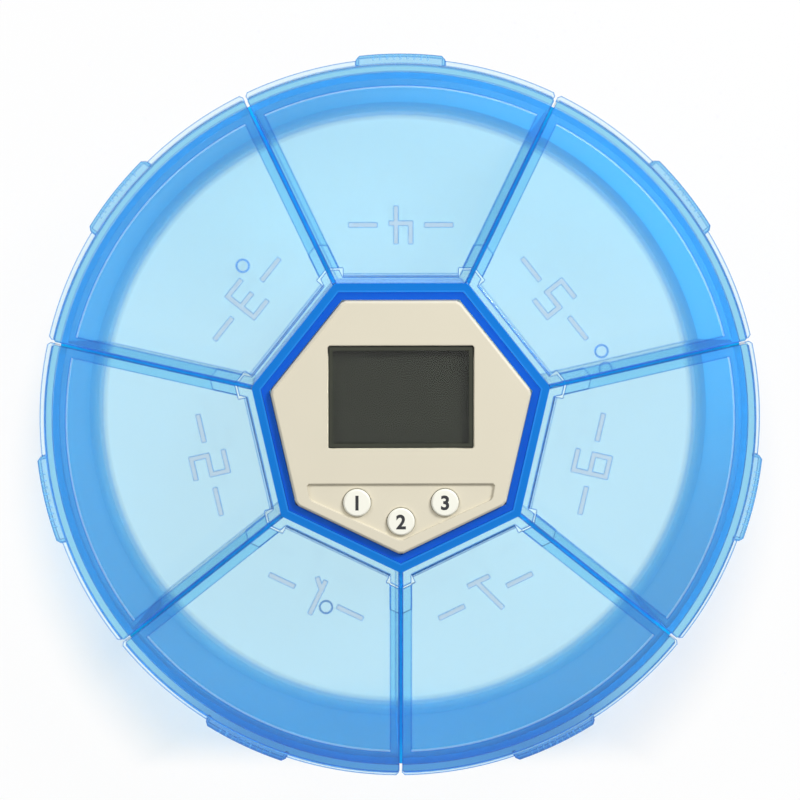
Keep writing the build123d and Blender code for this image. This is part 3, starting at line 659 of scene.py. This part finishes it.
class PILLBOX_OT_buttons(bpy.types.Operator):
    """Dress the push buttons in ivory plastic and print a numeral on each"""

    bl_idname = "pillbox.buttons"
    bl_label = "Buttons"

    def execute(self, context):
        # ABS, moulded glossier than the case.
        dress(BUTTONS, satin_plastic("ivory_abs_gloss", looks().button_colour, 0.24, depth=0.003 * MM,
                                     rounding=0.2 * MM))
        ink = satin_plastic("black_printing_ink", linear("#15161A"), 0.5)
        for node, numeral in BUTTONS.items():
            low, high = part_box(node)
            deselect()
            bpy.ops.object.text_add(location=(0, 0, 0))
            text = bpy.context.object
            text.data.body = numeral
            text.data.align_x = "CENTER"
            text.data.align_y = "CENTER"
            # At a size of 1 the strokes are thin, so they are drawn 0.03 bolder, and the print is 0.008 thick.
            text.data.size = 1.0
            text.data.extrude = 0.004
            text.data.offset = 0.03
            text.data.resolution_u = 6
            bpy.ops.object.convert(target="MESH")
            piece = bpy.context.object
            piece.scale = [looks().numeral_height / piece.dimensions.y] * 3
            bpy.ops.object.transform_apply(location=False, rotation=False, scale=True)
            points = [v.co for v in piece.data.vertices]
            middle = [(min(p[i] for p in points) + max(p[i] for p in points)) / 2 for i in range(2)]
            base = min(p.z for p in points)
            sunk = 0.01 * MM
            piece.location = ((low[0] + high[0]) / 2 - middle[0], (low[1] + high[1]) / 2 - middle[1],
                              high[2] - base - sunk)
            piece = settle(f"{node}_numeral")
            piece.data.materials.clear()
            piece.data.materials.append(ink)
            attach(piece, node)
        return {"FINISHED"}


class PILLBOX_OT_inner_parts(bpy.types.Operator):
    """Dress what is inside the timer"""

    bl_idname = "pillbox.inner_parts"
    bl_label = "Inner parts"

    def execute(self, context):
        # Polystyrene, moulded, plain white.
        dress(["lcd_holder"], satin_plastic("white_polystyrene_moulded", linear("#E4E4DE"), 0.45))
        # Conductive silicone, cut from sheet.
        dress(["contact_strip"], satin_plastic("pink_silicone_strip", linear("#D98E9C"), 0.6, grain=0.2 * MM))
        # Glass fibre board under solder mask, screen printed: glossy green with the weave showing faintly.
        dress(["circuit_board"], satin_plastic("green_solder_mask", linear("#1E5E37"), 0.3, grain=0.5 * MM,
                                               spread=0.12))
        # Epoxy, moulded round the chip.
        dress(["clock_chip"], satin_plastic("black_epoxy_moulded", linear("#17181A"), 0.5))
        # PBT, moulded black.
        dress(["buzzer", "key_switches"], satin_plastic("black_pbt_moulded", linear("#1D1D1F"), 0.4))
        dress(["clock_crystal", "coin_cell", "battery_spring", "battery_clip", "case_screws"], rolled_steel())
        return {"FINISHED"}


def white_board():
    """White studio board that keeps the object's shadow near it and melts into white further out."""
    material, tree = new_material("white_studio_board")
    place = add(tree, "ShaderNodeTexCoord")
    grain = add(tree, "ShaderNodeTexNoise", {"Scale": 400.0, "Detail": 2.0}, {"Vector": place.outputs["Object"]})
    rough = add(tree, "ShaderNodeMapRange", {3: 0.75, 4: 0.85}, {0: grain.outputs["Fac"]})
    board = add(tree, "ShaderNodeBsdfPrincipled", {
        "Base Color": rgba(linear("#E9E9EA")), "Specular IOR Level": 0.1}, {"Roughness": rough.outputs[0]})
    glow = add(tree, "ShaderNodeEmission", {"Color": WHITE, "Strength": 1.0})
    ray = add(tree, "ShaderNodeLightPath")
    direct = add(tree, "ShaderNodeMath", links={
        0: ray.outputs["Is Camera Ray"], 1: ray.outputs["Is Glossy Ray"]}, operation="MAXIMUM")
    # The white share grows from near to far, round a point a little in front of the object's middle.
    near_share, far_share = 0.32, 0.95
    ahead, melt_from, melt_to = 14 * MM, 58 * MM, 71 * MM
    lower = add(tree, "ShaderNodeVectorMath", {1: (0.0, ahead, 0.0)}, {0: place.outputs["Object"]}, operation="ADD")
    far = add(tree, "ShaderNodeVectorMath", links={0: lower.outputs[0]}, operation="LENGTH")
    melt = add(tree, "ShaderNodeMapRange", {1: melt_from, 2: melt_to, 3: near_share, 4: far_share},
               {0: far.outputs["Value"]}, interpolation_type="SMOOTHSTEP")
    # The front of the board, below the object in the picture, is white too where nothing stands before it.
    front_from, front_to = -58 * MM, -66 * MM
    depth = add(tree, "ShaderNodeSeparateXYZ", links={"Vector": place.outputs["Object"]}).outputs["Y"]
    front = add(tree, "ShaderNodeMapRange", {1: front_from, 2: front_to, 3: near_share, 4: far_share},
                {0: depth}, interpolation_type="SMOOTHSTEP")
    whiter = add(tree, "ShaderNodeMath", links={0: melt.outputs[0], 1: front.outputs[0]}, operation="MAXIMUM")
    bare = add(tree, "ShaderNodeMath", links={0: direct.outputs[0], 1: whiter.outputs[0]}, operation="MULTIPLY")
    # Seen through the clear plastic, the board has painted light and shade: painted paler from the rear to the
    # middle, and darker at the front, a painted shade that deepens the rim's own shadow.
    middle_share, rear_share, rear_to = 0.94, 0.66, 40 * MM
    shadow_share, shadow_from, shadow_to = 0.1, -61 * MM, -48 * MM
    rear = add(tree, "ShaderNodeMapRange", {1: 0.0, 2: rear_to, 3: middle_share, 4: rear_share},
               {0: depth}, interpolation_type="SMOOTHSTEP")
    rim_shade = add(tree, "ShaderNodeMapRange", {1: shadow_from, 2: shadow_to, 3: shadow_share, 4: 1.0},
                    {0: depth}, interpolation_type="SMOOTHSTEP")
    paler = add(tree, "ShaderNodeMath", links={0: rear.outputs[0], 1: rim_shade.outputs[0]}, operation="MULTIPLY")
    through = add(tree, "ShaderNodeMath", links={0: ray.outputs["Is Transmission Ray"], 1: paler.outputs[0]},
                  operation="MULTIPLY")
    share = add(tree, "ShaderNodeMath", links={0: bare.outputs[0], 1: through.outputs[0]}, operation="MAXIMUM")
    mixed = add(tree, "ShaderNodeMixShader", links={
        "Fac": share.outputs[0], 1: board.outputs["BSDF"], 2: glow.outputs["Emission"]})
    add(tree, "ShaderNodeOutputMaterial", links={"Surface": mixed.outputs["Shader"]})
    return material


def white_world(fill_level):
    """White where it is seen, in the picture, in reflections and through the plastic, and an even fill elsewhere."""
    world = bpy.data.worlds.new("studio_white")
    world.use_nodes = True
    tree = world.node_tree
    tree.nodes.clear()
    ray = add(tree, "ShaderNodeLightPath")
    direct = add(tree, "ShaderNodeMath", links={
        0: ray.outputs["Is Camera Ray"], 1: ray.outputs["Is Glossy Ray"]}, operation="MAXIMUM")
    seen = add(tree, "ShaderNodeMath", links={
        0: direct.outputs[0], 1: ray.outputs["Is Transmission Ray"]}, operation="MAXIMUM")
    white = add(tree, "ShaderNodeBackground", {"Color": WHITE, "Strength": 1.0})
    even = add(tree, "ShaderNodeBackground", {"Color": WHITE, "Strength": fill_level})
    mixed = add(tree, "ShaderNodeMixShader", links={
        "Fac": seen.outputs[0], 1: even.outputs["Background"], 2: white.outputs["Background"]})
    add(tree, "ShaderNodeOutputWorld", links={"Surface": mixed.outputs["Shader"]})
    return world


def soft_lamp(name, place, power):
    """A white square lamp, 0.2 m wide, aimed at the middle of the lids."""
    target = Vector((0.0, 0.0, 0.02))
    lamp = bpy.data.lights.new(name, "AREA")
    lamp.size = 0.2
    lamp.energy = power
    holder = bpy.data.objects.new(name, lamp)
    bpy.context.scene.collection.objects.link(holder)
    holder.location = place
    holder.rotation_euler = (target - place).to_track_quat("-Z", "Y").to_euler()


def picture_camera(chosen):
    """A camera almost straight above the lids, with the picture's upper side towards +Y."""
    pixel = chosen.distance / (chosen.lens / SENSOR * PICTURE_WIDTH)
    aim = Vector((AIM_RIGHT * pixel, AIM_UP * pixel, LID_TOP))
    away = Vector((-math.tan(chosen.lean_left), math.tan(chosen.lean_up), 1.0)).normalized()
    right = Vector((0, 1, 0)).cross(away).normalized()
    up = away.cross(right)
    camera = bpy.data.cameras.new("picture_camera")
    camera.lens = chosen.lens
    camera.sensor_width = SENSOR
    camera.clip_start = 0.01
    holder = bpy.data.objects.new("picture_camera", camera)
    bpy.context.scene.collection.objects.link(holder)
    turn = Matrix((right, up, away)).transposed().to_4x4()
    holder.matrix_world = Matrix.Translation(aim + away * chosen.distance) @ turn
    return holder


class PILLBOX_OT_stage(bpy.types.Operator):
    """Set up the floor, the lamps and the camera"""

    bl_idname = "pillbox.stage"
    bl_label = "Studio"

    def execute(self, context):
        chosen = studio()
        scene = bpy.context.scene
        deselect()
        # The board lies a hair below the tray, so that the two don't share a face.
        gap = 0.02 * MM
        bpy.ops.mesh.primitive_plane_add(size=4.0, location=(0, 0, -gap))
        floor = settle("studio_floor")
        floor.data.materials.append(white_board())
        scene.world = white_world(chosen.fill_level)
        aside, behind, above = 0.42, 0.38, 0.45
        soft_lamp("right_lamp", Vector((aside, behind, above)), chosen.right_power)
        soft_lamp("left_lamp", Vector((-aside, behind, above)), chosen.left_power)
        scene.camera = picture_camera(chosen)
        scene.view_settings.view_transform = "Standard"
        return {"FINISHED"}


STEPS = (PILLBOX_OT_blue_plastic, PILLBOX_OT_gate_marks, PILLBOX_OT_tab_grips, PILLBOX_OT_timer_case,
         PILLBOX_OT_display, PILLBOX_OT_buttons, PILLBOX_OT_inner_parts, PILLBOX_OT_stage)


class PILLBOX_PT_panel(bpy.types.Panel):
    """Lists the steps that dress the pill box"""

    bl_idname = "PILLBOX_PT_panel"
    bl_label = "Pill box"
    bl_space_type = "VIEW_3D"
    bl_region_type = "UI"
    bl_category = "Pill box"

    def draw(self, context):
        for group in (context.scene.pill_box_looks, context.scene.pill_box_studio):
            for key in group.__annotations__:
                self.layout.prop(group, key)
        for step in STEPS:
            self.layout.operator(step.bl_idname)


CLASSES = (PillBoxLooks, PillBoxStudio) + STEPS + (PILLBOX_PT_panel,)


def register():
    for item in CLASSES:
        bpy.utils.register_class(item)
    bpy.types.Scene.pill_box_looks = bpy.props.PointerProperty(type=PillBoxLooks)
    bpy.types.Scene.pill_box_studio = bpy.props.PointerProperty(type=PillBoxStudio)


def unregister():
    del bpy.types.Scene.pill_box_studio
    del bpy.types.Scene.pill_box_looks
    for item in reversed(CLASSES):
        bpy.utils.unregister_class(item)


def main():
    register()
    bpy.ops.pillbox.blue_plastic()
    bpy.ops.pillbox.gate_marks()
    bpy.ops.pillbox.tab_grips()
    bpy.ops.pillbox.timer_case()
    bpy.ops.pillbox.display()
    bpy.ops.pillbox.buttons()
    bpy.ops.pillbox.inner_parts()
    bpy.ops.pillbox.stage()
    deselect()


if __name__ == "__main__":
    main()
